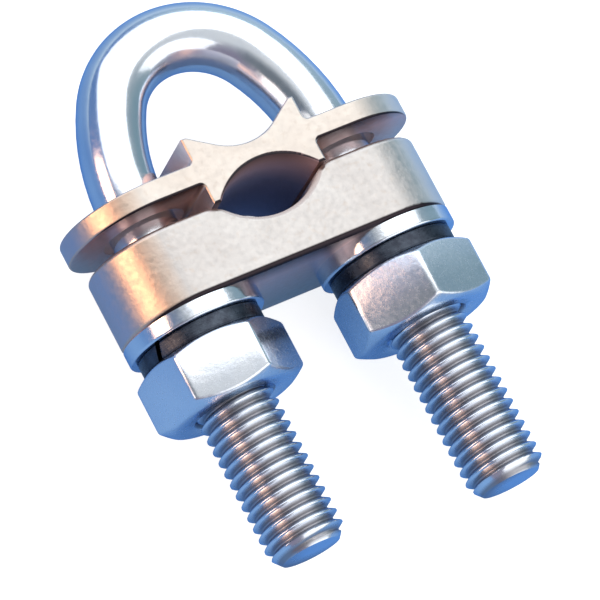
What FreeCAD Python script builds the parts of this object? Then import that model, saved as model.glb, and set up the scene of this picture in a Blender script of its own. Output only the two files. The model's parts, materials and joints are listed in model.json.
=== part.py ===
# Ground rod clamp: a U-bolt, two cast saddles and the nuts and washers that draw them together.
#
# The U-bolt goes round a vertical ground rod. The rod saddle sits against the rod, the conductor
# saddle sits against the rod saddle, and the conductor is squeezed between the two.
#
# Frame, in millimetres: X runs across the two legs, Y along the legs towards the bow, and Z along
# the ground rod. The clamp lies on a flat side of the rod saddle, at Z = 0. X = 0 is midway between
# the legs, and Y = 0 is halfway along the longer leg.
import FreeCAD
import Part
import Sketcher
import math
import os

V = FreeCAD.Vector

# The sizes that can be set, each with what it measures.
SIZES = {
    "leg_spacing": 27.0,        # between the axes of the two legs
    "shank_dia": 8.6,           # plain rod of the bow, before its legs are rolled
    "side_radius": 26.0,        # wide bend of the bow's sides, to the middle of the rod
    "thread_dia": 10.0,         # over the crests of the rolled thread
    "thread_drop": 14.3,        # from the middle of the ground rod to where the left leg's thread starts
    "bolt_length": 72.0,        # from the outside of the bow to the end of the right leg
    "leg_difference": 2.0,      # how much shorter the left leg was cut
    "tip_chamfer": 1.2,         # on the leg ends
    "leg_play": 0.4,            # between a leg and a saddle's hole, all round
    "rod_dia": 14.2,            # ground rod that the bow is bent round
    "rod_gap": 0.2,             # left between that rod and its seat
    "saddle_depth": 20.0,       # rod saddle, along the ground rod
    "ear_thickness": 2.8,       # the rod saddle's two thin ears
    "block_width": 15.6,        # the rod saddle's middle block, across the legs
    "horn_rise": 3.3,           # horns of the block above the ears
    "foot_drop": 2.85,          # feet of the block below the ears
    "seat_angle": 34.0,         # slope of the two flanks of the rod's seat, in degrees
    "root_round": 0.6,          # where the ears leave the block
    "cast_edge": 0.3,           # soft outer edges of the rod saddle
    "bar_depth": 18.0,          # conductor saddle, along the ground rod
    "bar_thickness": 9.85,      # conductor saddle, along the legs
    "bar_edge": 0.7,            # soft outer edges of the conductor saddle
    "groove_radius": 8.6,       # conductor grooves in both saddles
    "upper_sink": 3.3,          # how deep the rod saddle's groove is
    "lower_sink": 3.8,          # how deep the conductor saddle's groove is
    "groove_mouth": 4.0,        # where the lower groove rolls over into the conductor saddle's face
    "washer_dia": 18.0,         # flat washers
    "washer_thickness": 2.0,
    "washer_edge": 0.3,         # edge that the punch rounded over
    "washer_play": 0.25,        # between a leg and a flat washer, all round
    "lock_dia": 16.2,           # split lock washers, pressed flat
    "lock_thickness": 2.0,
    "lock_play": 0.3,           # between a leg and a lock washer, all round
    "lock_gap": 0.7,            # width of the split
    "lock_slant": 20.0,         # how far the split leans from the leg's axis, in degrees
    "lock_edge": 0.25,          # soft edges of the wire that the lock washer is coiled from
    "left_split_turn": 150.0,   # where each split lies round its leg, in degrees from +X to +Z
    "right_split_turn": 300.0,
    "nut_flats": 17.0,          # across the flats
    "nut_thickness": 7.8,
    "nut_face_dia": 16.0,       # flat ring that the end chamfers leave
    "nut_chamfer": 30.0,        # slope of the end chamfers, in degrees
    "nut_mouth": 0.45,          # countersink at each end of the nut's bore
    "thread_fit": 0.05,         # between the thread's crests and the nut
    "left_nut_turn": 14.0,      # where a corner of each nut lies round its leg, in degrees
    "right_nut_turn": 35.0,
}

# Cutting outlines reach this far past the material that they cut.
PAST = 1.0

doc = FreeCAD.newDocument("GroundRodClamp")
sheet = doc.addObject("Spreadsheet::Sheet", "Sizes")
for row, (size_name, size_value) in enumerate(SIZES.items(), start=1):
    sheet.set("A%d" % row, str(size_value))
    sheet.setAlias("A%d" % row, size_name)
doc.recompute()

# Places along the legs, worked out from the sizes. Each piece seats on the one before.
ROD_AXIS = "(Sizes.bolt_length / 2 - Sizes.shank_dia - Sizes.rod_dia / 2)"
SEAT_RADIUS = "(Sizes.rod_dia / 2 + Sizes.rod_gap)"
EAR_TOP = "(%s - %s)" % (ROD_AXIS, SEAT_RADIUS)
FOOT_PLANE = "(%s - Sizes.ear_thickness - Sizes.foot_drop)" % EAR_TOP

# The feet of the rod saddle rest on the rounded mouth of the lower groove, a little below its face.
MOUTH_RIM = "sqrt((%s)^2 - (%s)^2)" % (
    "Sizes.groove_radius + Sizes.groove_mouth", "Sizes.groove_radius - Sizes.lower_sink + Sizes.groove_mouth")
FOOT_REACH = "max(%s - Sizes.block_width / 2; 0)" % MOUTH_RIM
NEST = "(Sizes.groove_mouth - sqrt(Sizes.groove_mouth^2 - (%s)^2))" % FOOT_REACH
BAR_TOP = "(%s + %s)" % (FOOT_PLANE, NEST)
BAR_UNDERSIDE = "(%s - Sizes.bar_thickness)" % BAR_TOP
WASHER_UNDERSIDE = "(%s - Sizes.washer_thickness)" % BAR_UNDERSIDE
LOCK_UNDERSIDE = "(%s - Sizes.lock_thickness)" % WASHER_UNDERSIDE
LEFT_THREAD_START = "(%s - Sizes.thread_drop)" % ROD_AXIS
THREAD_LENGTH = "(%s - Sizes.leg_difference + Sizes.bolt_length / 2)" % LEFT_THREAD_START
LEFT_LEG = "-Sizes.leg_spacing / 2"
RIGHT_LEG = "Sizes.leg_spacing / 2"
MID_DEPTH = "Sizes.saddle_depth / 2"


def new_body(label):
    """Starts a piece. Its file is named after the label."""
    body = doc.addObject("PartDesign::Body", label)
    body.Label = label
    return body


def place(body, across, along):
    """Puts a piece's own origin at a place in the clamp's frame, at half the saddle's depth."""
    body.setExpression("Placement.Base.x", across)
    body.setExpression("Placement.Base.y", along)
    body.setExpression("Placement.Base.z", MID_DEPTH)


def turn_on_leg(body, degrees):
    """Turns a piece about its leg, so that its own +X points so many degrees from +X towards +Z."""
    body.Placement.Rotation = FreeCAD.Rotation(V(0, 1, 0), 0)
    body.setExpression("Placement.Rotation.Axis.x", "0")
    body.setExpression("Placement.Rotation.Axis.y", "1")
    body.setExpression("Placement.Rotation.Axis.z", "0")
    body.setExpression("Placement.Rotation.Angle", "-%s * 1deg" % degrees)


def new_sketch(body, plane_role, name):
    """A sketch on one of the piece's own origin planes."""
    plane = next(item for item in body.Origin.OriginFeatures if item.Role == plane_role)
    sketch = body.newObject("Sketcher::SketchObject", name)
    sketch.AttachmentSupport = [(plane, "")]
    sketch.MapMode = "FlatFace"
    return sketch


def evaluate(expression):
    """The number that an expression has now, used to draw a sketch near its final shape."""
    value = sheet.evalExpression(expression)
    return float(getattr(value, "Value", value))


def fix(sketch, kind, *where, size):
    """Adds one driven constraint and ties it to the sheet."""
    index = sketch.addConstraint(Sketcher.Constraint(kind, *where, evaluate(size)))
    sketch.setExpression("Constraints[%d]" % index, size)


def fix_point(sketch, geometry, end, across, along):
    """Ties a point of a sketch to its two coordinates."""
    fix(sketch, "DistanceX", -1, 1, geometry, end, size=across)
    fix(sketch, "DistanceY", -1, 1, geometry, end, size=along)


def add_circle(sketch, across, along, diameter):
    """A circle with its centre and diameter tied to the sheet."""
    centre = V(evaluate(across), evaluate(along), 0)
    circle = Part.Circle(centre, V(0, 0, 1), evaluate(diameter) / 2)
    index = sketch.addGeometry(circle, False)
    fix_point(sketch, index, 3, across, along)
    fix(sketch, "Diameter", index, size=diameter)


def add_outline(sketch, corners):
    """A closed outline of straight edges through corners, each given by two expressions."""
    spots = [V(evaluate(across), evaluate(along), 0) for across, along in corners]
    first = sketch.GeometryCount
    for index, spot in enumerate(spots):
        sketch.addGeometry(Part.LineSegment(spot, spots[(index + 1) % len(spots)]), False)
    for index in range(len(spots)):
        following = first + (index + 1) % len(spots)
        sketch.addConstraint(Sketcher.Constraint("Coincident", first + index, 2, following, 1))
    for index, (across, along) in enumerate(corners):
        fix_point(sketch, first + index, 1, across, along)


def draw_arc(centre, radius, start, end):
    """An arc in a sketch's plane, anticlockwise from one angle to another, in radians."""
    return Part.ArcOfCircle(Part.Circle(centre, V(0, 0, 1), radius), start, end)


def add_round_ended(sketch, depth):
    """The plan of a saddle: two half circles about the legs, joined by straight sides."""
    half = evaluate(RIGHT_LEG)
    radius = evaluate(depth) / 2
    quarter = math.pi / 2
    right_arc = sketch.addGeometry(draw_arc(V(half, 0, 0), radius, -quarter, quarter), False)
    top = sketch.addGeometry(Part.LineSegment(V(half, radius, 0), V(-half, radius, 0)), False)
    left_arc = sketch.addGeometry(draw_arc(V(-half, 0, 0), radius, quarter, 3 * quarter), False)
    bottom = sketch.addGeometry(Part.LineSegment(V(-half, -radius, 0), V(half, -radius, 0)), False)
    around = [right_arc, top, left_arc, bottom]
    for index, item in enumerate(around):
        following = around[(index + 1) % len(around)]
        sketch.addConstraint(Sketcher.Constraint("Tangent", item, 2, following, 1))
    sketch.addConstraint(Sketcher.Constraint("Equal", right_arc, left_arc))
    fix_point(sketch, right_arc, 3, RIGHT_LEG, "0")
    fix_point(sketch, left_arc, 3, LEFT_LEG, "0")
    fix(sketch, "Diameter", right_arc, size=depth)


def pad(body, sketch, length):
    """Raises a sketch. One on an XZ plane goes towards the leg ends."""
    feature = body.newObject("PartDesign::Pad", sketch.Name + "Pad")
    feature.Profile = sketch
    feature.setExpression("Length", length)
    sketch.Visibility = False
    doc.recompute()
    return feature


def check_cut(body, name, before):
    """Stops the build if a cut took nothing away."""
    if body.Shape.Volume >= before:
        raise RuntimeError(name + " cuts nothing")


def cut_through(body, sketch):
    """Cuts a sketch right through the piece, both ways."""
    before = body.Shape.Volume
    feature = body.newObject("PartDesign::Pocket", sketch.Name + "Cut")
    feature.Profile = sketch
    feature.SideType = "Symmetric"
    feature.Type = "ThroughAll"
    sketch.Visibility = False
    doc.recompute()
    check_cut(body, sketch.Name, before)


def dress(body, kind, name, is_wanted, size_property, size):
    """A fillet or chamfer on the edges that a test picks from the piece as it stands."""
    base = body.Tip
    edge_names = [
        "Edge%d" % number for number, edge in enumerate(base.Shape.Edges, start=1) if is_wanted(edge.BoundBox)]
    feature = body.newObject(kind, name)
    feature.Base = (base, edge_names)
    feature.setExpression(size_property, size)
    doc.recompute()


def near(a, b):
    return abs(a - b) < 1e-4


def is_level(box, *heights):
    """True for an edge that lies across the legs, at one of these heights along them."""
    return near(box.YMin, box.YMax) and any(near(box.YMin, height) for height in heights)


def dress_saddle(body, name, depth, thickness, size):
    """Softens the outer edges of a saddle: round both long sides, and round its two ends."""
    side = evaluate(depth) / 2
    under = -evaluate(thickness)
    past_holes = evaluate("%s + Sizes.thread_dia / 2 + Sizes.leg_play" % RIGHT_LEG) + 1e-3

    def is_outer(box):
        on_side = near(box.ZMin, box.ZMax) and near(abs(box.ZMin), side)
        at_end = is_level(box, 0, under) and max(-box.XMin, box.XMax) > past_holes
        return on_side or at_end

    dress(body, "PartDesign::Fillet", name, is_outer, "Radius", size)


def cut_leg_holes(body, name):
    """The two plain holes of a saddle, with play round the legs."""
    holes = new_sketch(body, "XZ_Plane", name)
    for leg in (LEFT_LEG, RIGHT_LEG):
        add_circle(holes, leg, "0", "Sizes.thread_dia + 2 * Sizes.leg_play")
    cut_through(body, holes)


def draw_bow(body):
    """The middle line of the bow, from the left thread over the top to the right one.

    Its top is an arc that hugs the ground rod. A wider arc on each side spreads it to the legs.
    """
    top_radius = "((Sizes.rod_dia + Sizes.shank_dia) / 2)"
    path = new_sketch(body, "XY_Plane", "BowPath")
    half = evaluate(RIGHT_LEG)
    axis = evaluate("Sizes.thread_drop")
    top = evaluate(top_radius)
    side = evaluate("Sizes.side_radius")
    turned = math.acos((side - half) / (side - top))
    bend = axis - (side - half) * math.tan(turned)

    left = path.addGeometry(Part.LineSegment(V(-half, 0, 0), V(-half, bend, 0)), False)
    left_side = path.addGeometry(draw_arc(V(side - half, bend, 0), side, math.pi - turned, math.pi), False)
    over = path.addGeometry(draw_arc(V(0, axis, 0), top, turned, math.pi - turned), False)
    right_side = path.addGeometry(draw_arc(V(half - side, bend, 0), side, 0, turned), False)
    right = path.addGeometry(Part.LineSegment(V(half, bend, 0), V(half, 0, 0)), False)
    path.addConstraint(Sketcher.Constraint("Vertical", left))
    path.addConstraint(Sketcher.Constraint("Vertical", right))
    path.addConstraint(Sketcher.Constraint("Tangent", left, 2, left_side, 2))
    path.addConstraint(Sketcher.Constraint("Tangent", left_side, 1, over, 2))
    path.addConstraint(Sketcher.Constraint("Tangent", over, 1, right_side, 2))
    path.addConstraint(Sketcher.Constraint("Tangent", right_side, 1, right, 1))
    fix_point(path, left, 1, LEFT_LEG, "0")
    fix_point(path, right, 2, RIGHT_LEG, "-Sizes.leg_difference")
    fix_point(path, over, 3, "0", "Sizes.thread_drop")
    fix(path, "Radius", over, size=top_radius)
    fix(path, "Radius", left_side, size="Sizes.side_radius")
    return path


def add_thread_blank(body, name, leg, drop):
    """The rolled stretch of a leg as a plain cylinder over the crests, starting at a drop."""
    sketch = new_sketch(body, "XZ_Plane", name)
    sketch.setExpression("AttachmentOffset.Base.z", drop)
    add_circle(sketch, leg, "0", "Sizes.thread_dia")
    pad(body, sketch, THREAD_LENGTH)


def make_u_bolt():
    """Round rod bent over the ground rod. Its own Y = 0 is where the left thread starts."""
    body = new_body("u_bolt")
    path = draw_bow(body)
    section = new_sketch(body, "XZ_Plane", "BowSection")
    add_circle(section, LEFT_LEG, "0", "Sizes.shank_dia")
    doc.recompute()
    pipe = body.newObject("PartDesign::AdditivePipe", "Bow")
    pipe.Profile = section
    pipe.Spine = (path, ["Edge%d" % number for number in range(1, path.GeometryCount + 1)])
    path.Visibility = False
    section.Visibility = False
    doc.recompute()
    add_thread_blank(body, "LeftThread", LEFT_LEG, "0")
    add_thread_blank(body, "RightThread", RIGHT_LEG, "Sizes.leg_difference")
    left_tip = -evaluate(THREAD_LENGTH)
    right_tip = left_tip - evaluate("Sizes.leg_difference")
    dress(body, "PartDesign::Chamfer", "TipChamfer", lambda box: is_level(box, left_tip, right_tip),
          "Size", "Sizes.tip_chamfer")
    place(body, "0", LEFT_THREAD_START)
    return body


def make_rod_saddle():
    """Cast saddle for the ground rod. Its own Y = 0 is the top of the ears."""
    body = new_body("rod_saddle")
    plan = new_sketch(body, "XZ_Plane", "EarPlan")
    add_round_ended(plan, "Sizes.saddle_depth")
    pad(body, plan, "Sizes.ear_thickness")

    half = "Sizes.block_width / 2"
    foot = "-(Sizes.ear_thickness + Sizes.foot_drop)"
    block = new_sketch(body, "XY_Plane", "Block")
    add_outline(block, [
        ("-" + half, foot),
        (half, foot),
        (half, "Sizes.horn_rise"),
        ("-" + half, "Sizes.horn_rise"),
    ])
    pad(body, block, "Sizes.saddle_depth").SideType = "Symmetric"
    doc.recompute()

    side = evaluate(half)
    under = -evaluate("Sizes.ear_thickness")

    def is_root(box):
        at_side = near(box.XMin, box.XMax) and near(abs(box.XMin), side)
        return at_side and is_level(box, 0, under) and box.ZLength > 1

    dress(body, "PartDesign::Fillet", "EarRoots", is_root, "Radius", "Sizes.root_round")

    # The seat fits the rod at its bottom, level with the ears, and opens into two sloped flanks.
    seat = new_sketch(body, "XY_Plane", "Seat")
    above = "(Sizes.horn_rise + %g)" % PAST
    meeting = "(%s / cos(Sizes.seat_angle) - %s)" % (SEAT_RADIUS, SEAT_RADIUS)
    flank = "((%s + %s) / tan(Sizes.seat_angle))" % (above, meeting)
    add_outline(seat, [("0", "-" + meeting), (flank, above), ("-" + flank, above)])
    cut_through(body, seat)
    valley = -evaluate(meeting)
    dress(body, "PartDesign::Fillet", "SeatBottom", lambda box: is_level(box, valley), "Radius", SEAT_RADIUS)

    groove = new_sketch(body, "XY_Plane", "UpperGroove")
    centre = "%s - (Sizes.groove_radius - Sizes.upper_sink)" % foot
    add_circle(groove, "0", centre, "2 * Sizes.groove_radius")
    cut_through(body, groove)
    cut_leg_holes(body, "EarHoles")
    dress_saddle(body, "CastEdges", "Sizes.saddle_depth", "Sizes.ear_thickness", "Sizes.cast_edge")
    place(body, "0", EAR_TOP)
    return body


def make_conductor_saddle():
    """Thick cast bar that the nuts push on. Its own Y = 0 is the face with the conductor groove."""
    body = new_body("conductor_saddle")
    plan = new_sketch(body, "XZ_Plane", "BarPlan")
    add_round_ended(plan, "Sizes.bar_depth")
    pad(body, plan, "Sizes.bar_thickness")
    groove = new_sketch(body, "XY_Plane", "LowerGroove")
    add_circle(groove, "0", "Sizes.groove_radius - Sizes.lower_sink", "2 * Sizes.groove_radius")
    cut_through(body, groove)

    def is_mouth(box):
        return near(box.XMin, box.XMax) and is_level(box, 0) and box.ZLength > 1

    dress(body, "PartDesign::Fillet", "GrooveMouth", is_mouth, "Radius", "Sizes.groove_mouth")
    cut_leg_holes(body, "BarHoles")
    dress_saddle(body, "BarEdges", "Sizes.bar_depth", "Sizes.bar_thickness", "Sizes.bar_edge")
    place(body, "0", BAR_TOP)
    return body


def make_ring(label, outside, play, thickness):
    """A ring round a leg. Its own Y = 0 is the face towards the saddles."""
    body = new_body(label)
    ring = new_sketch(body, "XZ_Plane", label + "Ring")
    add_circle(ring, "0", "0", outside)
    add_circle(ring, "0", "0", "Sizes.thread_dia + 2 * %s" % play)
    pad(body, ring, thickness)
    return body


def make_flat_washer(label, leg):
    """Punched washer, with the punch's round edge away from the saddle."""
    body = make_ring(label, "Sizes.washer_dia", "Sizes.washer_play", "Sizes.washer_thickness")
    rim = evaluate("Sizes.washer_dia") / 2
    under = -evaluate("Sizes.washer_thickness")
    dress(body, "PartDesign::Fillet", label + "Edge", lambda box: is_level(box, under) and near(box.XMax, rim),
          "Radius", "Sizes.washer_edge")
    place(body, leg, BAR_UNDERSIDE)
    return body


def make_lock_washer(label, leg, split_turn):
    """Split washer, pressed flat. Its split lies on its own +X side until it is turned."""
    body = make_ring(label, "Sizes.lock_dia", "Sizes.lock_play", "Sizes.lock_thickness")
    rim = evaluate("Sizes.lock_dia") / 2
    dress(body, "PartDesign::Fillet", label + "Edge", lambda box: near(box.XMax, rim), "Radius", "Sizes.lock_edge")

    # The slot leans from the axis and passes a little above and below the ring.
    slot = new_sketch(body, "YZ_Plane", label + "Slot")
    half_gap = "(Sizes.lock_gap / 2 / cos(Sizes.lock_slant))"
    lean = "((Sizes.lock_thickness / 2 + %g) * tan(Sizes.lock_slant))" % PAST
    above = "%g" % PAST
    below = "-(Sizes.lock_thickness + %g)" % PAST
    add_outline(slot, [
        (above, "-%s - %s" % (lean, half_gap)),
        (above, "-%s + %s" % (lean, half_gap)),
        (below, "%s + %s" % (lean, half_gap)),
        (below, "%s - %s" % (lean, half_gap)),
    ])
    before = body.Shape.Volume
    split = body.newObject("PartDesign::Pocket", label + "Split")
    split.Profile = slot
    split.Reversed = True
    split.setExpression("Length", "Sizes.lock_dia")
    slot.Visibility = False
    doc.recompute()
    check_cut(body, label + "Split", before)
    place(body, leg, WASHER_UNDERSIDE)
    turn_on_leg(body, split_turn)
    return body


def make_nut(label, leg, corner_turn):
    """Hexagon nut, chamfered at both ends. Its own Y = 0 is the face against the lock washer."""
    body = new_body(label)
    plan = new_sketch(body, "XZ_Plane", label + "Plan")
    corner = "(Sizes.nut_flats / sqrt(3))"
    add_outline(plan, [
        ("%s * cos(%d)" % (corner, angle), "%s * sin(%d)" % (corner, angle)) for angle in range(0, 360, 60)])
    add_circle(plan, "0", "0", "Sizes.thread_dia + 2 * Sizes.thread_fit")
    pad(body, plan, "Sizes.nut_thickness")

    # One turned cut takes the corners off both ends.
    cut = new_sketch(body, "XY_Plane", label + "Corners")
    inner = "(Sizes.nut_face_dia / 2)"
    outer = "(%s + %g)" % (corner, PAST)
    fall = "((%s - %s) * tan(Sizes.nut_chamfer))" % (outer, inner)
    under = "-Sizes.nut_thickness"
    add_outline(cut, [(inner, "0"), (outer, "-" + fall), (outer, "0")])
    add_outline(cut, [(inner, under), (outer, under), (outer, "%s + %s" % (under, fall))])
    before = body.Shape.Volume
    groove = body.newObject("PartDesign::Groove", label + "CornerCut")
    groove.Profile = cut
    groove.ReferenceAxis = (cut, ["V_Axis"])
    groove.Angle = 360
    cut.Visibility = False
    doc.recompute()
    check_cut(body, label + "CornerCut", before)

    bore = evaluate("Sizes.thread_dia / 2 + Sizes.thread_fit")
    dress(body, "PartDesign::Chamfer", label + "Mouth",
          lambda box: near(box.YMin, box.YMax) and near(box.XMax, bore), "Size", "Sizes.nut_mouth")
    place(body, leg, LOCK_UNDERSIDE)
    turn_on_leg(body, corner_turn)
    return body


pieces = [make_u_bolt(), make_rod_saddle(), make_conductor_saddle()]
for hand, leg in (("left", LEFT_LEG), ("right", RIGHT_LEG)):
    pieces.append(make_flat_washer(hand + "_flat_washer", leg))
    pieces.append(make_lock_washer(hand + "_lock_washer", leg, "Sizes.%s_split_turn" % hand))
    pieces.append(make_nut(hand + "_nut", leg, "Sizes.%s_nut_turn" % hand))
doc.recompute()

for item in doc.Objects:
    if "Invalid" in item.State or "Error" in item.State:
        raise RuntimeError("%s did not build: %s" % (item.Name, item.State))
for piece in pieces:
    if piece.Shape.isNull() or not piece.Shape.isValid() or len(piece.Shape.Solids) != 1:
        raise RuntimeError(piece.Label + " is not one sound solid")

os.makedirs("parts", exist_ok=True)
for piece in pieces:
    piece.Shape.exportStep("parts/%s.step" % piece.Label)
    box = piece.Shape.BoundBox
    print("%-18s volume %9.2f  x %7.2f %7.2f  y %7.2f %7.2f  z %7.2f %7.2f" % (
        piece.Label, piece.Shape.Volume, box.XMin, box.XMax, box.YMin, box.YMax, box.ZMin, box.ZMax))
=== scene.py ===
# %% [markdown]
# # A ground rod clamp in bright plating and cast bronze
#
# The clamp comes as a finished construction model: a U-bolt, two cast saddles, two flat washers, two
# split lock washers and two nuts, each in its place and at its real size. This lesson gives it its
# looks. Each step says what a piece or a finish is on the real clamp, how it could be made, and why
# one way was chosen. Everything is in metres, in the model's own frame: X runs across the two legs,
# Y along them towards the bow, and Z up from the table.

# %% Load the clamp
import json
import math

import bpy
import numpy as np
from mathutils import Matrix, Vector


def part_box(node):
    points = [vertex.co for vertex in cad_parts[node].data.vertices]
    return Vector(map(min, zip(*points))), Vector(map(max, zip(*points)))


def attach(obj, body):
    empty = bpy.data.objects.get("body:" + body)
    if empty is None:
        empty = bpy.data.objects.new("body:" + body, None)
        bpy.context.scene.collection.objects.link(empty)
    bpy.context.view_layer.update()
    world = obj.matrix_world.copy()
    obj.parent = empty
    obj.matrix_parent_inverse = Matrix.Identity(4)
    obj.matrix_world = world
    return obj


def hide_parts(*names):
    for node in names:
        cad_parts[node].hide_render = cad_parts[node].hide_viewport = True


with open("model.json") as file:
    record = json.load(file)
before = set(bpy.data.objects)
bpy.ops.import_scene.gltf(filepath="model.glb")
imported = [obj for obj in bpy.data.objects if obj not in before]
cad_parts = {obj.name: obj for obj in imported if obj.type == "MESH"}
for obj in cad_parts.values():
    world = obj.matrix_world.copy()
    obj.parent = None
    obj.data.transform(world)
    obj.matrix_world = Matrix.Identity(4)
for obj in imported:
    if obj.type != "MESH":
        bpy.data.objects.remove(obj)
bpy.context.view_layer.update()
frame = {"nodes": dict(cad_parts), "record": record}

MM = 0.001
print("pieces in the construction model:", ", ".join(sorted(frame["nodes"])))

# %% [markdown]
# ## What the looks have to fit
#
# In the construction model each leg is a plain cylinder over the crests of its thread. The true thread
# has to lie inside it. Its sizes could be typed in again, but here they are measured from that
# cylinder and from the round seat of the ground rod. If a size of the clamp changes, they follow it.

# %% Measure the bar
def points_of(node):
    """All points of a piece of the construction model, one row each."""
    return np.array([vertex.co for vertex in frame["nodes"][node].data.vertices])


blank = points_of("u_bolt")
bolt_low, bolt_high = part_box("u_bolt")
MIDDLE_Z = (bolt_low.z + bolt_high.z) / 2      # height of the bar's middle line above the table
CREST = (bolt_high.z - bolt_low.z) / 2         # radius over the crests of the thread
LEG_X = bolt_high.x - CREST                    # distance of each leg from the middle of the clamp
off_plane = np.abs(blank[:, 2] - MIDDLE_Z)
SHANK = off_plane[blank[:, 1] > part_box("rod_saddle")[1].y].max()      # radius of the plain bar
print("crest radius %.2f mm, shank radius %.2f mm, legs at %.2f mm" % (CREST / MM, SHANK / MM, LEG_X / MM))

# %% Measure the threads and the bow
HANDS = {"left": -1, "right": 1}      # the two legs, and the side of the middle on which each stands
HAIR = 0.01 * MM                      # points this close together count as level


def mount(name):
    """A place in the clamp's record where another part is held."""
    return next(entry for entry in frame["record"]["mounts"] if entry["name"] == name)


rolled = blank[off_plane > (CREST + SHANK) / 2]
LEG_END = {side: blank[side * blank[:, 0] > 0, 1].min() for side in HANDS.values()}
THREAD_START = {side: rolled[side * rolled[:, 0] > 0, 1].max() for side in HANDS.values()}
tip = blank[blank[:, 1] < LEG_END[1] + HAIR]
TIP_RADIUS = np.hypot(tip[:, 0] - LEG_X, tip[:, 2] - MIDDLE_Z).max()
rod_seat = mount("rod_seat")
ROD_Y = rod_seat["pos_m"][1]
BOW_TOP_RADIUS = rod_seat["dims"]["r_mm"] * MM + SHANK
for hand, side in HANDS.items():
    print("thread on the %s leg: %.1f mm long" % (hand, (THREAD_START[side] - LEG_END[side]) / MM))

# %% [markdown]
# ## The rolled thread
#
# A rolled thread is pressed into the bar between two dies. It is one helical ridge with slightly
# rounded crests and roots, and both legs carry the same right-hand thread. A screw modifier could spin
# a profile, but it leaves loose ends at the tip and at the plain bar. Here the thread is a height
# field instead: the bar is a stack of rings, and each point of a ring is pushed in or out by where it
# stands on the helix. The same formula later cuts the thread inside the nuts, so they always mesh.

# %% The shape of the thread
PITCH = 1.5 * MM
THREAD_DEPTH = 0.88 * MM
CREST_FLAT = 0.05       # half of the flat on a crest, as a share of the pitch
ROOT_FLAT = 0.06        # half of the flat in a root
SOFTNESS = 0.20         # how far the rolled flanks are rounded, from 0 to 1


def thread_depth(travel, around):
    """How far the thread lies below its crest at a travel along the leg and an angle round it."""
    turn = travel / PITCH - around / (2 * math.pi)
    from_crest = np.abs((turn + 0.5) % 1.0 - 0.5)
    flank = np.clip((from_crest - CREST_FLAT) / (0.5 - CREST_FLAT - ROOT_FLAT), 0.0, 1.0)
    rounded = 0.5 - 0.5 * np.cos(math.pi * flank)
    return THREAD_DEPTH * (flank + (rounded - flank) * SOFTNESS)


one_turn = thread_depth(np.linspace(0.0, PITCH, 5), 0.0) / MM
print("depth below the crest, quarter by quarter of a turn, mm:", one_turn.round(2))

# %% [markdown]
# ## The line that the bar follows
#
# The real U-bolt is a single bar: threaded at both ends, then bent over a former of the ground rod's
# size, so that the top of the bow hugs the rod and wider bends on both sides lead to the legs. A curve
# with a round bevel would give the bow but not the threads, so the whole bar is one sweep of rings
# along its middle line. The rings lie close together in the threads and wide apart elsewhere.

# %% Rings along the middle line
SIDE_BEND = 26.0 * MM      # radius of the wide bends
THREAD_ROWS = 13           # rings for each pitch
STRAIGHT_ROWS = 8          # rings from the thread to the bend, with the first and the last
BEND_ROWS = 26             # rings for each quarter turn of the bow


def leg_and_bend(side, turned, bend_y):
    """Rings up one leg and round its wide bend."""
    rows = round((THREAD_START[side] - LEG_END[side]) / PITCH * THREAD_ROWS)
    heights = list(np.linspace(LEG_END[side], THREAD_START[side], rows + 1))
    heights += list(np.linspace(THREAD_START[side], bend_y, STRAIGHT_ROWS))[1:-1]
    outward = math.pi if side < 0 else 0.0
    rings = [(side * LEG_X, y, outward, side) for y in heights]
    for angle in np.linspace(0, turned, round(BEND_ROWS * turned / (math.pi / 2)))[:-1]:
        x = side * (LEG_X - SIDE_BEND + SIDE_BEND * math.cos(angle))
        y = bend_y + SIDE_BEND * math.sin(angle)
        rings.append((x, y, angle if side > 0 else math.pi - angle, 0))
    return rings


def bar_stations():
    """Places of the rings: x, y, the direction that points out of the bow, and the leg's side or 0."""
    turned = math.acos((SIDE_BEND - LEG_X) / (SIDE_BEND - BOW_TOP_RADIUS))
    bend_y = ROD_Y - (SIDE_BEND - LEG_X) * math.tan(turned)
    top = []
    for angle in np.linspace(math.pi - turned, turned, 2 * BEND_ROWS):
        x = BOW_TOP_RADIUS * math.cos(angle)
        y = ROD_Y + BOW_TOP_RADIUS * math.sin(angle)
        top.append((x, y, angle, 0))
    left, right = (leg_and_bend(side, turned, bend_y) for side in HANDS.values())
    return left + top + right[::-1]


stations = bar_stations()
print("rings from one leg's end to the other's:", len(stations))

# %% [markdown]
# ## How thick the bar is
#
# Rolling squeezes the metal outwards, so the crests stand proud of the plain bar and the roots lie
# below it. Near the bow the dies ran out, and at the tips each leg has a small chamfer to start its
# nut. Booleans could cut both, but two limits on the radius are enough: the thread fades out over the
# last stretch, and near the tip no point reaches beyond a cone.

# %% Radius round one ring
RING_POINTS = 72
AROUND = np.linspace(0, 2 * math.pi, RING_POINTS, endpoint=False)
TIP_SLOPE = 0.8            # radius that a leg gains along its end chamfer, for each unit of length
RUN_OUT = 2.0 * MM         # where the rolling dies leave the bar


def bar_radii(y, side):
    """Radius of the bar and depth below the crest, all round one ring."""
    depth = np.zeros(RING_POINTS)
    if side == 0 or y > THREAD_START[side]:
        return depth + SHANK, depth
    depth = thread_depth(-side * y, AROUND)
    fade = min((THREAD_START[side] - y) / RUN_OUT, 1.0)
    radius = SHANK + (CREST - depth - SHANK) * fade
    cone = TIP_RADIUS + (y - LEG_END[side]) * TIP_SLOPE
    return np.minimum(radius, cone), depth * fade


threaded_ring = bar_radii((LEG_END[1] + THREAD_START[1]) / 2, 1)[0] / MM
print("radius halfway along a thread: %.2f to %.2f mm" % (threaded_ring.min(), threaded_ring.max()))

# %% [markdown]
# ## Meshes from rings
#
# The U-bolt and later the nuts are built from closed rings of points. Rings could be bridged by hand in
# edit mode, but a script can count instead: one helper joins a stack of rings with quads, and another
# makes the mesh and stores how deep in the thread each point lies. The finish reads that value later
# to darken the roots.

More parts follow.
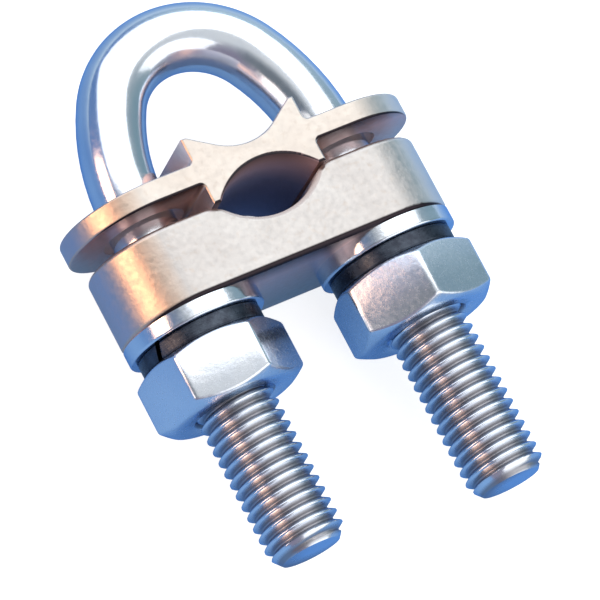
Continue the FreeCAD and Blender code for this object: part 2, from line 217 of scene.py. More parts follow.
# %% Join rings into a mesh
SHARP = math.radians(50)      # edges that turn by more than this stay sharp


def join_rings(ring_count, ring_size, closed):
    """Quads between neighbouring rings. A closed stack also joins its last ring to its first."""
    faces = []
    for ring in range(ring_count if closed else ring_count - 1):
        here = ring * ring_size
        there = ((ring + 1) % ring_count) * ring_size
        for step in range(ring_size):
            after = (step + 1) % ring_size
            faces.append((here + step, here + after, there + after, there + step))
    return faces


def mesh_piece(name, points, faces, depths):
    """Makes an object from points and faces, smooth apart from its sharp edges."""
    mesh = bpy.data.meshes.new(name)
    mesh.from_pydata([tuple(point) for point in points], [], faces)
    mesh.validate()
    stored = mesh.attributes.new("thread_depth", "FLOAT", "POINT")
    stored.data.foreach_set("value", depths.astype(np.float32))
    mesh.shade_smooth()
    mesh.set_sharp_from_angle(angle=SHARP)
    piece = bpy.data.objects.new(name, mesh)
    bpy.context.scene.collection.objects.link(piece)
    print("%s: %d points, %d faces" % (name, len(mesh.vertices), len(mesh.polygons)))
    return piece


# %% [markdown]
# ## The U-bolt
#
# Each station of the line now gets its ring, the rings are joined, and a fan of triangles closes each
# end of the bar. A single closed mesh is chosen over a bow with two legs joined on, because no seam
# can then show in the mirror of the plating.

# %% Sweep the bar
def make_bar():
    """The whole U-bolt as one closed mesh."""
    points = []
    depths = []
    for x, y, outward, side in stations:
        radius, depth = bar_radii(y, side)
        across = radius * np.cos(AROUND)
        points.append(np.column_stack([
            x + across * math.cos(outward),
            y + across * math.sin(outward),
            MIDDLE_Z + radius * np.sin(AROUND),
        ]))
        depths.append(depth)
    faces = join_rings(len(stations), RING_POINTS, closed=False)
    for ring, side in ((0, -1), (len(stations) - 1, 1)):
        centre = len(stations) * RING_POINTS + (ring > 0)
        points.append(np.array([[side * LEG_X, LEG_END[side], MIDDLE_Z]]))
        depths.append(np.zeros(1))
        for step in range(RING_POINTS):
            edge = (ring * RING_POINTS + step, ring * RING_POINTS + (step + 1) % RING_POINTS)
            faces.append((centre, *edge[::-1]) if ring == 0 else (centre, *edge))
    return mesh_piece("threaded_u_bolt", np.concatenate(points), faces, np.concatenate(depths))


threaded_u_bolt = make_bar()
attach(threaded_u_bolt, "u_bolt")
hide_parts("u_bolt")

# %% [markdown]
# ## The outline of a nut
#
# From its end a nut is a hexagon whose corners are rounded a little by forging. A bevel modifier could
# round them, but later steps need the outline as a number: how far it lies from the leg's axis at each
# angle. Size and turn are taken from the nuts of the construction model.

# %% Measure the nuts and round their corners
NUT_CORNER_ROUND = 0.70 * MM
HALF_FLAT = math.pi / 6      # half of the angle that one flat spans


def measure_nut(hand, side):
    """Distance from a nut's axis to its flats, and the angle of one corner."""
    nut = points_of(hand + "_nut")
    outward = side * (nut[:, 0] - side * LEG_X)
    reach = np.hypot(outward, nut[:, 2] - MIDDLE_Z)
    corner = reach.argmax()
    corner_angle = math.atan2(nut[corner, 2] - MIDDLE_Z, outward[corner])
    return reach.max() * math.cos(HALF_FLAT), corner_angle


def hexagon_radius(from_flat, apothem):
    """Distance from the leg's axis to the hexagon, at an angle from the middle of a flat."""
    centre = (apothem - NUT_CORNER_ROUND) / math.cos(HALF_FLAT)
    tangent = math.atan2((apothem - NUT_CORNER_ROUND) * math.tan(HALF_FLAT), apothem)
    if abs(from_flat) < tangent:
        return apothem / math.cos(from_flat)
    off = HALF_FLAT - abs(from_flat)
    return centre * math.cos(off) + math.sqrt(NUT_CORNER_ROUND ** 2 - (centre * math.sin(off)) ** 2)


for hand, side in HANDS.items():
    across_flats = 2 * measure_nut(hand, side)[0]
    across_corners = 2 * hexagon_radius(HALF_FLAT, across_flats / 2)
    print("%s nut: %.2f mm across flats" % (hand, across_flats / MM))
    print("%s nut: %.2f mm across its rounded corners" % (hand, across_corners / MM))

# %% [markdown]
# ## The section of a nut
#
# A nut is chamfered at both ends, and each chamfer leaves a round face and six curved arcs where it
# meets the flats. Cutting a prism with two cones by booleans gives those arcs but also long thin
# triangles. Here each nut is a ring of sections round the leg: every section runs out along the end
# face, down the flat and back through the thread, and its outer radius follows the hexagon. The arcs
# then come by themselves, all faces are quads, and the edges can be softened.

# %% The outer half of a section
EDGE_SOFT = 0.28 * MM         # softened edges of the end faces and chamfers
EDGE_MIDDLE = 0.29            # how near to its corner a soft edge passes, as a share of EDGE_SOFT
CHAMFER_SLOPE = math.tan(math.radians(30))
FACE_RADIUS = 8.0 * MM        # flat ring that the chamfers leave
MOUTH_RADIUS = 5.5 * MM       # countersink at each end of the bore


def soften(corners):
    """Replaces each inner corner of a section by three points, a short way before, near and after it."""
    corners = [np.array(corner) for corner in corners]
    result = [corners[0]]
    for before, corner, after in zip(corners, corners[1:], corners[2:]):
        into = (before - corner) / np.linalg.norm(before - corner) * EDGE_SOFT
        out = (after - corner) / np.linalg.norm(after - corner) * EDGE_SOFT
        result += [corner + into, corner + (into + out) * EDGE_MIDDLE, corner + out]
    return result + [corners[-1]]


def nut_section(top, bottom, outer):
    """Outer half of a section, from the mouth at the top face round to the mouth at the bottom."""
    fall = max(outer - FACE_RADIUS, 0.0) * CHAMFER_SLOPE
    return soften([
        (MOUTH_RADIUS, top),
        (FACE_RADIUS, top),
        (outer, top - fall),
        (outer, bottom + fall),
        (FACE_RADIUS, bottom),
        (MOUTH_RADIUS, bottom),
    ])


chamfer_fall = (across_corners / 2 - FACE_RADIUS) * CHAMFER_SLOPE
print("the chamfer falls %.2f mm from the end face to a corner" % (chamfer_fall / MM))

# %% [markdown]
# ## The nuts
#
# A tap cuts the thread in each nut, and a countersink at both ends lets the bolt find it. The inner
# half of every section repeats the thread's formula with a little play, so the ridges of the leg lie
# in the grooves of the nut. Sections that stand closest at the corners keep the round corners smooth,
# which an even spacing would do only with many more points.

# %% The inner half of a section
MESH_GAP = 0.06 * MM          # play between the two threads
BORE_ROWS = 64                # points through the thread


def bored_section(low, high, outer, angle, side):
    """A whole section at one angle round the leg, and how deep in the thread each point lies."""
    solid = nut_section(high, low, outer)
    rows = np.linspace(low, high, BORE_ROWS + 2)[1:-1]
    depth = thread_depth(-side * rows, angle)
    mouth = MOUTH_RADIUS - np.minimum(rows - low, high - rows)
    bore = np.maximum(CREST - depth + MESH_GAP, mouth)
    section = np.array(solid + list(zip(bore, rows)))
    return section, np.concatenate([np.zeros(len(solid)), THREAD_DEPTH - depth])


left_low, left_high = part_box("left_nut")
sample = bored_section(left_low.y, left_high.y, FACE_RADIUS, 0.0, HANDS["left"])[0]
print("the ridges in a nut reach in to a radius of %.2f mm" % (sample[:, 0].min() / MM))

# %% Build both nuts
COLUMNS = 24                  # sections for each flat, closest at the corners


def make_nut(hand, side):
    """One nut round its leg, with the thread that meshes with the leg's."""
    node = hand + "_nut"
    low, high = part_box(node)
    apothem, corner_angle = measure_nut(hand, side)
    spread = np.sin(np.linspace(-math.pi / 2, math.pi / 2, COLUMNS, endpoint=False)) * HALF_FLAT
    points = []
    depths = []
    for flat in range(6):
        for from_flat in spread:
            angle = corner_angle + (2 * flat + 1) * HALF_FLAT + from_flat
            outer = hexagon_radius(from_flat, apothem)
            section, depth = bored_section(low.y, high.y, outer, angle, side)
            points.append(np.column_stack([
                side * (LEG_X + section[:, 0] * math.cos(angle)),
                section[:, 1],
                MIDDLE_Z + section[:, 0] * math.sin(angle),
            ]))
            depths.append(depth)
    faces = join_rings(len(points), len(points[0]), closed=True)
    if side > 0:
        faces = [face[::-1] for face in faces]
    piece = mesh_piece("hexagon_" + node, np.concatenate(points), faces, np.concatenate(depths))
    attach(piece, node)
    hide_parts(node)
    return piece


hexagon_nuts = [make_nut(hand, side) for hand, side in HANDS.items()]

# %% [markdown]
# ## Nodes for the finishes
#
# Every finish is a small tree of nodes round one Principled shader. The nodes could be added and
# wired one by one in the shader editor. In a script a few helpers keep the trees short: one starts a
# finish, one fills the sockets of a node with numbers, colours or links, one adds a node, and two do
# sums with numbers and with vectors.

# %% Helpers that add nodes
def start_finish(name):
    """A new material, its tree of nodes and its shader."""
    finish = bpy.data.materials.new(name)
    finish.use_nodes = True
    return finish, finish.node_tree, finish.node_tree.nodes["Principled BSDF"]


def plug(tree, value, socket):
    """Links a socket to another node, or fills it with a number, a vector or a colour."""
    if isinstance(value, bpy.types.NodeSocket):
        tree.links.new(value, socket)
    else:
        socket.default_value = value


def fill(tree, node, **sockets):
    """Plugs a value into each socket that is named."""
    for name, value in sockets.items():
        plug(tree, value, node.inputs[name.replace("_", " ")])


def add_node(tree, kind, settings=None, **sockets):
    """Adds a node with its settings, and fills its sockets."""
    node = tree.nodes.new(kind)
    for name, value in (settings or {}).items():
        setattr(node, name, value)
    fill(tree, node, **sockets)
    return node


# %% Helpers that do sums
def work_out(tree, operation, *values):
    """The result of a sum with numbers."""
    node = add_node(tree, "ShaderNodeMath", {"operation": operation})
    for value, socket in zip(values, node.inputs):
        plug(tree, value, socket)
    return node.outputs[0]


def work_out_vector(tree, operation, *values):
    """The result of a sum with vectors, which is a number for a dot product or a length."""
    node = add_node(tree, "ShaderNodeVectorMath", {"operation": operation})
    for value, socket in zip(values, node.inputs):
        plug(tree, value, socket)
    return node.outputs["Value" if operation in ("DOT_PRODUCT", "LENGTH") else "Vector"]


# %% [markdown]
# ## Patterns, blends and bumps
#
# No real surface is even. Patches, specks and fine grain all come from noise here, at a size given in
# millimetres. Photographs of metal could be used instead, but noise in the piece's own space fits any
# shape, has no seams and rides with the piece. One more helper turns such a pattern into bumps of a
# real height, and the last one says what was made.

# %% Helpers for patterns and colours
NOISE_ROUGHNESS = 0.55
PATCH_RANGE = (0.35, 0.65)      # below and above this part of the noise a patch is even
SPECK_RANGE = (0.30, 0.70)


def grain(tree, size, stretch=(1, 1, 1), detail=4.0):
    """Noise with spots about one size across, in the piece's own space."""
    place = add_node(tree, "ShaderNodeTexCoord").outputs["Object"]
    stretched = add_node(tree, "ShaderNodeMapping", Vector=place, Scale=stretch).outputs["Vector"]
    noise = add_node(tree, "ShaderNodeTexNoise", Vector=stretched, Scale=1 / size, Detail=detail,
                     Roughness=NOISE_ROUGHNESS)
    return noise.outputs["Fac"]


def between(tree, value, low, high, at_low, at_high):
    """Stretches a value from one range to another, and stops at both ends."""
    node = add_node(tree, "ShaderNodeMapRange", Value=value)
    fill(tree, node, From_Min=low, From_Max=high, To_Min=at_low, To_Max=at_high)
    return node.outputs["Result"]


def patches(tree, size, detail=4.0):
    """Soft patches, from 0 to 1."""
    return between(tree, grain(tree, size, detail=detail), *PATCH_RANGE, 0.0, 1.0)


def specks(tree, size, least, most):
    """A value that wanders between two limits from spot to spot."""
    return between(tree, grain(tree, size), *SPECK_RANGE, least, most)


def blend(tree, amount, first, second):
    """Mixes two colours, each a colour or a socket."""
    node = tree.nodes.new("ShaderNodeMix")
    node.data_type = "RGBA"
    plug(tree, amount, node.inputs["Factor"])
    sockets = [socket for socket in node.inputs if socket.type == "RGBA"]
    for socket, colour in zip(sockets, (first, second)):
        plug(tree, colour if isinstance(colour, bpy.types.NodeSocket) else (*colour, 1.0), socket)
    return next(socket for socket in node.outputs if socket.type == "RGBA")


def relief(tree, height, distance, below=None):
    """Bumps a surface by a height between 0 and 1, over a real distance, on top of other bumps."""
    bump = add_node(tree, "ShaderNodeBump", Height=height, Distance=distance, Strength=1.0)
    if below is not None:
        plug(tree, below, bump.inputs["Normal"])
    return bump.outputs["Normal"]


def announce(finish):
    """Says what was made."""
    print("finish made: %s, %d nodes" % (finish.name, len(finish.node_tree.nodes)))
    return finish


# %% [markdown]
# ## Bright plating
#
# The bar, the nuts and the flat washers are steel with a thin bright plating that has a cold, bluish
# cast. It mirrors its surroundings, so most of what is seen on it comes from the lights. The finish
# itself adds what a plain mirror lacks: cloudy patches where the plating is thicker, a gloss that
# varies, and the fine unevenness of the metal below. The nuts are rougher than the bar, because they
# were forged, and the roots of the threads are darker and duller than the crests. One recipe with four
# settings makes all three finishes, so that they stay alike.

# %% Plated steel
PLATING = ((0.80, 0.84, 0.90), (0.88, 0.90, 0.93))      # thin and thick patches
COLD_CAST = (0.50, 0.72, 1.0, 1.0)                      # tint at glancing angles
# a darker, duller tone towards the roots of the thread
ROOT_DARK_TONE = (0.22, 0.19, 0.19)
DARKER_FROM = 0.10 * MM                                 # depth below the crest
DARKER_IN_FULL = 0.85 * THREAD_DEPTH
ROOT_ROUGHNESS = 0.30                                   # what the roots add to the roughness where the darker tone is full


def plated_finish(name, gloss, root_share, lump_size, lump_height):
    """Plating with a range of roughness, a share of darker tone in the roots, and lumps below it."""
    finish, tree, shader = start_finish(name)
    bright = blend(tree, patches(tree, 5 * MM), *PLATING)
    depth = add_node(tree, "ShaderNodeAttribute", {"attribute_name": "thread_depth"}).outputs["Fac"]
    # darker and rougher towards the roots of the thread
    rooted = between(tree, depth, DARKER_FROM, DARKER_IN_FULL, 0.0, root_share)
    polish = specks(tree, 0.5 * MM, *gloss)
    lumps = grain(tree, lump_size, detail=5.0)
    fill(
        tree, shader,
        Base_Color=blend(tree, rooted, bright, ROOT_DARK_TONE),
        Roughness=work_out(tree, "MULTIPLY_ADD", rooted, ROOT_ROUGHNESS, polish),
        Metallic=1.0,
        Specular_Tint=COLD_CAST,
        Normal=relief(tree, lumps, lump_height),
    )
    return announce(finish)


bar_plating = plated_finish("bright plating on the bar", gloss=(0.13, 0.20), root_share=0.70,
                            lump_size=2.5 * MM, lump_height=0.02 * MM)
nut_plating = plated_finish("bright plating on the nuts", gloss=(0.21, 0.29), root_share=0.75,
                            lump_size=1.6 * MM, lump_height=0.04 * MM)
washer_plating = plated_finish("bright plating on the washers", gloss=(0.10, 0.22), root_share=0.0,
                               lump_size=1.8 * MM, lump_height=0.03 * MM)

# %% [markdown]
# ## Spring steel
#
# The split lock washers are coiled from hard spring wire. Their coating is thinner and darker than the
# plating beside them, with faint lines along the wire, and its near-black colour is also painted shade
# for the shade below the flat washer. The lines could be modelled, but at this size they only change
# the gleam, so noise that is stretched along the wire is enough.

# %% Dark spring steel
# partly a dark coating, partly painted shade under the flat washer
SPRING_COATING_AND_SHADE = ((0.04, 0.045, 0.06), (0.08, 0.095, 0.12))
SPRING_GLOSS = (0.22, 0.42)
ALONG_WIRE = (0.3, 3.0, 0.3)      # long spots round the ring, thin ones across it
LINE_DEPTH = 0.02 * MM


def spring_finish():
    """A dark coating over drawn wire, nearly black as painted shade under the flat washer."""
    finish, tree, shader = start_finish("dark spring steel with painted shade")
    drawn = grain(tree, 0.3 * MM, stretch=ALONG_WIRE)
    fill(
        tree, shader,
        Base_Color=blend(tree, patches(tree, 1.5 * MM), *SPRING_COATING_AND_SHADE),
        Roughness=specks(tree, 0.4 * MM, *SPRING_GLOSS),
        Metallic=1.0,
        Normal=relief(tree, drawn, LINE_DEPTH),
    )
    return announce(finish)


spring_steel = spring_finish()

# %% [markdown]
# ## Zones of a casting
#
# Tumbling brightens a casting unevenly. It reaches the flats and the ends, and misses corners and
# hollows. Other zones carry painted light: painted highlights, reflections and shade where the light
# falls unevenly. Such zones could be painted by hand, but then they would fit one size of the clamp only.
# These helpers find them from the shape itself: from where a surface faces and where it lies. The
# walls of the conductor groove are the surfaces that look towards the middle of the groove.

# %% Find the zones
GROOVE_Y = mount("conductor_groove")["pos_m"][1]
GROOVE_REACH = 7.2 * MM              # the zone ends this far from the groove's middle line
GROOVE_FADE = 0.4 * MM               # and fades out over this much
WALL_FROM = 0.5 * MM                 # a wall counts where that line lies further than this before it
WALL_FULL = 1.5 * MM                 # and counts in full from here on


def leaning(tree, vector, direction, low, high):
    """0 to 1 as a vector reaches from low to high along a direction."""
    along = work_out_vector(tree, "DOT_PRODUCT", vector, Vector(direction).normalized())
    return between(tree, along, low, high, 0.0, 1.0)


def facing(tree, direction, low, high):
    """1 where a surface faces one direction of the piece's own space, 0 where it faces well away."""
    normal = add_node(tree, "ShaderNodeTexCoord").outputs["Normal"]
    return leaning(tree, normal, direction, low, high)


def both(tree, first, second):
    """High only where two values are both high."""
    return work_out(tree, "MULTIPLY", first, second)


def inside_groove(tree):
    """1 on the walls that face the middle of the conductor groove, 0 elsewhere."""
    where = add_node(tree, "ShaderNodeTexCoord")
    off = work_out_vector(tree, "SUBTRACT", where.outputs["Object"], (0.0, GROOVE_Y, 0.0))
    across = work_out_vector(tree, "MULTIPLY", off, (1.0, 1.0, 0.0))
    away = work_out_vector(tree, "DOT_PRODUCT", across, where.outputs["Normal"])
    reach = work_out_vector(tree, "LENGTH", across)
    near = between(tree, reach, GROOVE_REACH - GROOVE_FADE, GROOVE_REACH, 1.0, 0.0)
    return both(tree, near, between(tree, away, -WALL_FULL, -WALL_FROM, 1.0, 0.0))


print("middle line of the conductor groove at y = %.2f mm" % (GROOVE_Y / MM))

# %% [markdown]
# ## Colours of cast bronze
#
# Both saddles are small castings in a pale bronze. Their flats look nearly white under soft light. The
# rounded left end gets a painted warm highlight with a painted violet-grey reflection at its tip, the
# right end is painted pale as painted light, and the faces towards the bow get a duller painted shade.
# Sheltered corners and the groove keep the skin of the casting, which is brown, and deep inside the
# groove painted shade makes it nearly black. The undersides, the faces that look towards the nuts, get a
# painted warm reflection, and a dark line of painted shade runs along the front edge of each. A painted
# picture could hold all this, but it would fit one casting only. So the colours are laid over each other
# like coats of paint, each in its zone: what comes later covers what came before.

# %% Colour of a casting
FLECKS = (0.47, 0.38, 0.31)
FLECK_RANGE = (0.55, 0.75)
FLECK_COVER = 0.45
PAINTED_END_LIGHT = (                                           # direction, from, to, colour
    ((-1, 0, 0), 0.20, 0.52, (0.84, 0.60, 0.43)),       # painted warm highlight on the left end
    ((-1, 0, 0), 0.82, 0.97, (0.62, 0.56, 0.60)),       # and a painted violet-grey reflection at its tip
    ((1, 0, 0), 0.20, 0.55, (0.95, 0.88, 0.83)),        # painted light makes the right end pale
)
# painted warm reflection on the undersides that face the nuts
PAINTED_WARM_UNDERSIDE = (0.88, 0.58, 0.54)
SHELTERED_SKIN = (0.72, 0.50, 0.45)
# painted shade deep in the groove, dark blue-violet
PAINTED_DEEP_SHADE = (0.26, 0.27, 0.42)
# painted shadow line along the front edge of each underside
PAINTED_SHADOW_LINE = (0.10, 0.055, 0.05)
PAINTED_EDGE_SHADE = (0.04, 0.03, 0.035)                        # painted shade on the rounded edge beside that line
WARMS_OVER = (4 * MM, 16 * MM)                          # heights above the table over which the painted warm reflection grows
DARKENS_OVER = (1 * MM, 8 * MM)                         # depths behind the front over which painted shade deepens in the groove
LINE_WIDTH = 4.5 * MM


def bronze_colour(tree, tones, front, sheltered, groove):
    """Colour of a casting whose front lies at a height, with its sheltered zone, its groove, and its
    painted highlights, reflections and shade.
    """
    place = add_node(tree, "ShaderNodeTexCoord").outputs["Object"]
    colour = blend(tree, patches(tree, 6 * MM, detail=3.0), tones["pale"], tones["paler"])
    flecked = between(tree, grain(tree, 0.9 * MM, detail=6.0), *FLECK_RANGE, 0.0, FLECK_COVER)
    colour = blend(tree, flecked, colour, FLECKS)
    # painted light on the ends: a warm highlight and a violet-grey reflection on the left, a pale right
    # end
    for direction, low, high, tone in PAINTED_END_LIGHT:
        colour = blend(tree, facing(tree, direction, low, high), colour, tone)
    # painted shade on the faces towards the bow
    colour = blend(tree, facing(tree, (0, 1, 0), 0.30, 0.80), colour, tones["shade_towards_bow"])
    # painted warm reflection on the underside, stronger towards the front
    below = facing(tree, (0, -1, 0), 0.50, 0.90)
    rising = leaning(tree, place, (0, 0, 1), *WARMS_OVER)
    colour = blend(tree, both(tree, below, rising), colour, PAINTED_WARM_UNDERSIDE)
    colour = blend(tree, sheltered, colour, SHELTERED_SKIN)
    # brown skin at the groove's mouth, turning to painted shade deeper in
    deep = leaning(tree, place, (0, 0, -1), DARKENS_OVER[0] - front, DARKENS_OVER[1] - front)
    colour = blend(tree, groove, colour, blend(tree, deep, tones["groove_mouth"], PAINTED_DEEP_SHADE))
    # painted shadow line along the underside's front edge, and painted shade on the rounded edge
    near_front = leaning(tree, place, (0, 0, 1), front - LINE_WIDTH, front)
    colour = blend(tree, both(tree, below, near_front), colour, PAINTED_SHADOW_LINE)
    return blend(tree, facing(tree, (0, -1, 1), 0.76, 0.86), colour, PAINTED_EDGE_SHADE)


# %% [markdown]
# ## Cast bronze
#
# The skin that sheltered places keep is an oxide, rough and hardly metallic, while the rest is bare
# metal with a satin gloss. An ambient occlusion node finds the sheltered corners, which would take
# long to paint by hand. Fine sand grain and shallow dimples from the mould come last. The two castings
# were poured apart and differ a little in colour, so one recipe makes two finishes.

# %% Finish both castings
SATIN = (0.30, 0.44)           # roughness of the bare metal
CRUST = 0.75                   # roughness inside the groove
SKIN_METALLIC = 0.15           # bare metal is 1
SHELTER_REACH = 6 * MM         # walls this near give shelter
SHELTER_COVER = 0.70           # share of the metal that the skin covers in a deep corner
SAND_DEPTH = 0.014 * MM
DIMPLE_DEPTH = 0.05 * MM


def bronze_finish(name, node, tones):
    """Cast bronze for one saddle, bare on its broad faces and with its skin where it is sheltered."""
    finish, tree, shader = start_finish(name)
    shelter = add_node(tree, "ShaderNodeAmbientOcclusion", Distance=SHELTER_REACH).outputs["AO"]
    sheltered = between(tree, shelter, 0.10, 0.60, SHELTER_COVER, 0.0)
    groove = inside_groove(tree)
    skin = work_out(tree, "MAXIMUM", sheltered, groove)
    crust = between(tree, groove, 0.0, 1.0, 0.0, CRUST)
    sand = relief(tree, grain(tree, 0.35 * MM, detail=6.0), SAND_DEPTH)
    fill(
        tree, shader,
        Base_Color=bronze_colour(tree, tones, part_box(node)[1].z, sheltered, groove),
        Roughness=work_out(tree, "MAXIMUM", specks(tree, 0.7 * MM, *SATIN), crust),
        Metallic=between(tree, skin, 0.0, 0.9, 1.0, SKIN_METALLIC),
        Normal=relief(tree, grain(tree, 2.2 * MM, detail=2.0), DIMPLE_DEPTH, below=sand),
    )
    return announce(finish)


rod_bronze = bronze_finish("pale cast bronze, rod saddle", "rod_saddle", {
    "pale": (0.60, 0.53, 0.47),
    "paler": (0.65, 0.59, 0.53),
    # painted shade on the faces towards the bow
    "shade_towards_bow": (0.57, 0.51, 0.52),
    "groove_mouth": (0.48, 0.29, 0.29),
})
conductor_bronze = bronze_finish("pale cast bronze, conductor saddle", "conductor_saddle", {
    "pale": (0.515, 0.48, 0.455),
    "paler": (0.56, 0.53, 0.505),
    # painted shade on the faces towards the bow
    "shade_towards_bow": (0.60, 0.48, 0.43),
    "groove_mouth": (0.62, 0.56, 0.53),
})

# %% [markdown]
# ## Every piece gets its finish
#
# The clamp has four kinds of surface: the plating, which is smoother on the bar than on the forged
# nuts, the dark spring steel of the lock washers, and the bronze of the two castings. The castings and
# washers have the right shape in the construction model, so they stay as they are and only change
# their stand-in colours. Each list of materials is emptied first and then gets one finish.

# %% Give every piece its finish
def wear(piece, finish):
    """Puts one finish on a piece."""
    piece.data.materials.clear()
    piece.data.materials.append(finish)
    print("%s: %s" % (piece.name, finish.name))


wear(threaded_u_bolt, bar_plating)
for nut in hexagon_nuts:
    wear(nut, nut_plating)
for hand in HANDS:
    wear(frame["nodes"][hand + "_flat_washer"], washer_plating)
    wear(frame["nodes"][hand + "_lock_washer"], spring_steel)
wear(frame["nodes"]["rod_saddle"], rod_bronze)
wear(frame["nodes"]["conductor_saddle"], conductor_bronze)

# %% [markdown]
# ## The backdrop
#
# Bright metal shows what stands round it. The clamp lies on a sheet that looks plain white, and yet
# its plating mirrors blue from every low direction: a deep blue behind on the left, and a paler one
# behind on the right. So this sheet has two looks. For the eye it is white, and for whatever mirrors
# it, it is blue. A light path node tells the two apart. A sheet that is white for both would be
# simpler, but the undersides and rims of the clamp would then vanish against it.

# %% The two looks of the backdrop
WHITE_SHEET = (0.60, 0.60, 0.60, 1.0)
WHITE_GLOW = 1.35                         # share of its colour with which the white sheet glows
BLUE_GLOW = (0.75, 0.98)                  # the blue one glows less where the clamp shades it
BLUE = (0.11, 0.20, 0.35)
SHEET_TONES = (                           # direction, from, to, colour
    ((-0.6, 0.8, 0), 15 * MM, 60 * MM, (0.065, 0.135, 0.27)),     # deeper behind on the left
    ((0.5, 0.85, 0), 15 * MM, 110 * MM, (0.23, 0.30, 0.37)),      # paler behind on the right
)
SHADE_REACH = 20 * MM


def lit_sheet(tree, colour, glow):
    """A matt sheet that reflects a colour and also glows with a share of it."""
    matt = add_node(tree, "ShaderNodeBsdfDiffuse", Color=colour)
    lit = add_node(tree, "ShaderNodeEmission", Color=colour, Strength=glow)
    added = tree.nodes.new("ShaderNodeAddShader")
    tree.links.new(matt.outputs[0], added.inputs[0])
    tree.links.new(lit.outputs[0], added.inputs[1])
    return added.outputs[0]


def mirrored_sheet(tree):
    """What the metal mirrors: blue, deeper behind on the left and paler behind on the right."""
    place = add_node(tree, "ShaderNodeTexCoord").outputs["Object"]
    blue = BLUE
    for direction, low, high, tone in SHEET_TONES:
        blue = blend(tree, leaning(tree, place, direction, low, high), blue, tone)
    shelter = add_node(tree, "ShaderNodeAmbientOcclusion", Distance=SHADE_REACH).outputs["AO"]
    return lit_sheet(tree, blue, between(tree, shelter, 0.10, 0.60, *BLUE_GLOW))


def backdrop_finish():
    """White for the eye, and blue for what mirrors it."""
    finish = bpy.data.materials.new("backdrop sheet")
    finish.use_nodes = True
    tree = finish.node_tree
    tree.nodes.clear()
    output = tree.nodes.new("ShaderNodeOutputMaterial")
    mix = tree.nodes.new("ShaderNodeMixShader")
    path = tree.nodes.new("ShaderNodeLightPath")
    tree.links.new(path.outputs["Is Camera Ray"], mix.inputs[0])
    tree.links.new(mirrored_sheet(tree), mix.inputs[1])
    tree.links.new(lit_sheet(tree, WHITE_SHEET, WHITE_GLOW), mix.inputs[2])
    tree.links.new(mix.outputs[0], output.inputs["Surface"])
    return announce(finish)


# %% Lay the backdrop
SHEET_HALF = 3.0      # metres


def make_backdrop():
    """One wide square at the height of the table."""
    mesh = bpy.data.meshes.new("backdrop")
    corners = [(x * SHEET_HALF, y * SHEET_HALF, 0) for x, y in ((-1, -1), (1, -1), (1, 1), (-1, 1))]
    mesh.from_pydata(corners, [], [(0, 1, 2, 3)])
    backdrop = bpy.data.objects.new("backdrop", mesh)
    bpy.context.scene.collection.objects.link(backdrop)
    mesh.materials.append(backdrop_finish())
    print("the backdrop is %.1f m wide" % backdrop.dimensions.x)


make_backdrop()

# %% [markdown]
# ## Diffusers and a lamp
#
# The broad white band on the bow mirrors a large diffuser behind and above the clamp, and the front
# nut faces mirror a smaller one in front. On the left stand a narrow white strip and a warm lamp,
# which gives the left ends of the castings their orange gleam. Glowing panels would work as well, but
# area lights stay clean with few samples. Each one is aimed by its direction as seen from the clamp.

# %% The diffusers
CENTRE = Vector((0.0, 0.0, MIDDLE_Z))
LIGHT_DISTANCE = 0.7            # metres from the clamp to every light
WARM_WHITE = (1.0, 0.86, 0.78)
ORANGE = (1.0, 0.58, 0.34)


def pointing(azimuth, height):
    """A direction, from degrees round from +Y towards +X, and degrees above the table."""
    turn, rise = math.radians(azimuth), math.radians(height)
    return Vector((math.sin(turn) * math.cos(rise), math.cos(turn) * math.cos(rise), math.sin(rise)))


def make_diffuser(name, towards, width, height, brightness, colour=(1, 1, 1), lean=0.0):
    """A flat light that faces the clamp. Brightness is that of the lit sheet."""
    light = bpy.data.lights.new(name, "AREA")
    light.shape = "RECTANGLE"
    light.size = width
    light.size_y = height
    light.energy = brightness * math.pi * width * height
    light.color = colour
    holder = bpy.data.objects.new(name, light)
    bpy.context.scene.collection.objects.link(holder)
    turned = towards.to_track_quat("Z", "Y").to_matrix() @ Matrix.Rotation(math.radians(lean), 3, "Z")
    holder.matrix_world = Matrix.Translation(CENTRE + towards * LIGHT_DISTANCE) @ turned.to_4x4()
    holder.visible_camera = False
    print("%s: %.2f by %.2f m, %.2f W" % (name, width, height, light.energy))


make_diffuser("back diffuser", pointing(14, 49), width=1.25, height=0.90, brightness=1.25, lean=-14)
make_diffuser("front diffuser", pointing(152, 35), width=0.90, height=0.62, brightness=0.95, lean=-12)
make_diffuser("white strip on the left", pointing(-97, 19), width=0.20, height=0.40, brightness=1.6,
              colour=WARM_WHITE)
make_diffuser("warm lamp on the left", pointing(-66, 20), width=0.28, height=0.34, brightness=5.0,
              colour=ORANGE)

# %% [markdown]
# ## The room
#
# Between the diffusers the plating mirrors the room: grey overhead, violet in front on the left, dark
# high on the left, teal on the right and blue behind. A photograph of a room could surround the clamp,
# but a few soft blends of direction are enough, because curved metal shrinks the room to thin bands.

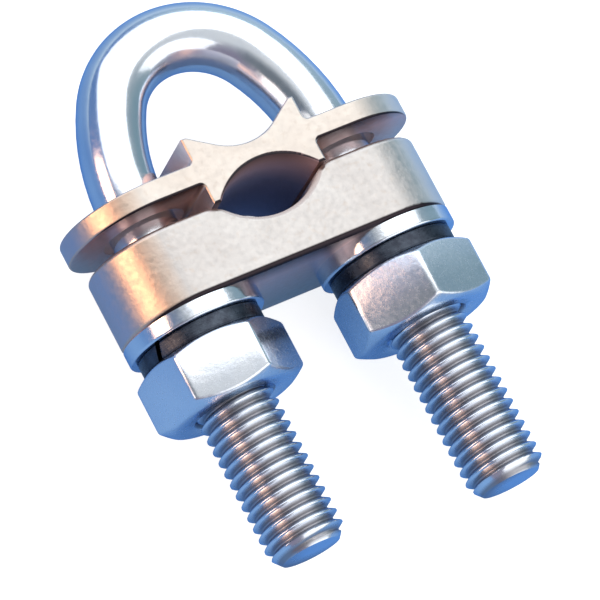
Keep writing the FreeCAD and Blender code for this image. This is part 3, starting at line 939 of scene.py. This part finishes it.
# %% The room
WALLS = (0.42, 0.46, 0.50)
ROOM_TONES = (                                                # direction, from, to, colour
    ((0, 0, 1), 0.60, 0.95, (0.68, 0.71, 0.74)),              # the ceiling
    (pointing(-135, 15), 0.60, 0.95, (0.24, 0.22, 0.30)),     # violet in front on the left
    (pointing(-93, 47), 0.87, 0.98, (0.15, 0.18, 0.21)),      # dark high on the left
    (pointing(85, 0), 0.55, 0.95, (0.20, 0.31, 0.37)),        # teal on the right
    (pointing(30, 5), 0.65, 0.92, (0.44, 0.59, 0.71)),        # pale blue behind on the right
    (pointing(-35, -5), 0.35, 0.80, (0.11, 0.22, 0.46)),      # deep blue behind on the left
)


def make_room():
    """Walls that change colour with direction."""
    world = bpy.data.worlds.new("room")
    world.use_nodes = True
    tree = world.node_tree
    direction = add_node(tree, "ShaderNodeTexCoord").outputs["Generated"]
    colour = WALLS
    for towards, low, high, tone in ROOM_TONES:
        colour = blend(tree, leaning(tree, direction, towards, low, high), colour, tone)
    fill(tree, tree.nodes["Background"], Color=colour)
    bpy.context.scene.world = world
    print("the room has %d blends of direction" % len(ROOM_TONES))


make_room()
bpy.context.scene.view_settings.view_transform = "Standard"

# %% [markdown]
# ## The camera
#
# The photograph looks down on the clamp from over the left leg, with the camera turned on its side
# a little, and through a long lens, so that the legs stay almost parallel. A camera could be aimed by
# eye, but here its direction, roll, aim, distance and lens were fitted to points measured in the
# photograph, so that proportions can be compared in the render.

# %% Place the camera
LOOKS_ALONG = Vector((0.38022, 0.22678, -0.89666)).normalized()
ROLL = math.radians(33.92)
AIM = Vector((1.865, -4.138, 6.474)) * MM
DISTANCE = 0.600
LENS = 296.3               # millimetres, for the sensor below
SENSOR = 36.0
NEAREST = 0.01             # nothing nearer than this is shown

camera = bpy.data.cameras.new("photograph")
camera.lens = LENS
camera.sensor_width = SENSOR
camera.clip_start = NEAREST
viewer = bpy.data.objects.new("photograph", camera)
bpy.context.scene.collection.objects.link(viewer)
level = LOOKS_ALONG.to_track_quat("-Z", "Y").to_matrix()
rolled_view = (level @ Matrix.Rotation(ROLL, 3, "Z")).to_4x4()
viewer.matrix_world = Matrix.Translation(AIM - LOOKS_ALONG * DISTANCE) @ rolled_view
bpy.context.scene.camera = viewer
print("camera at", [round(value, 3) for value in viewer.location])
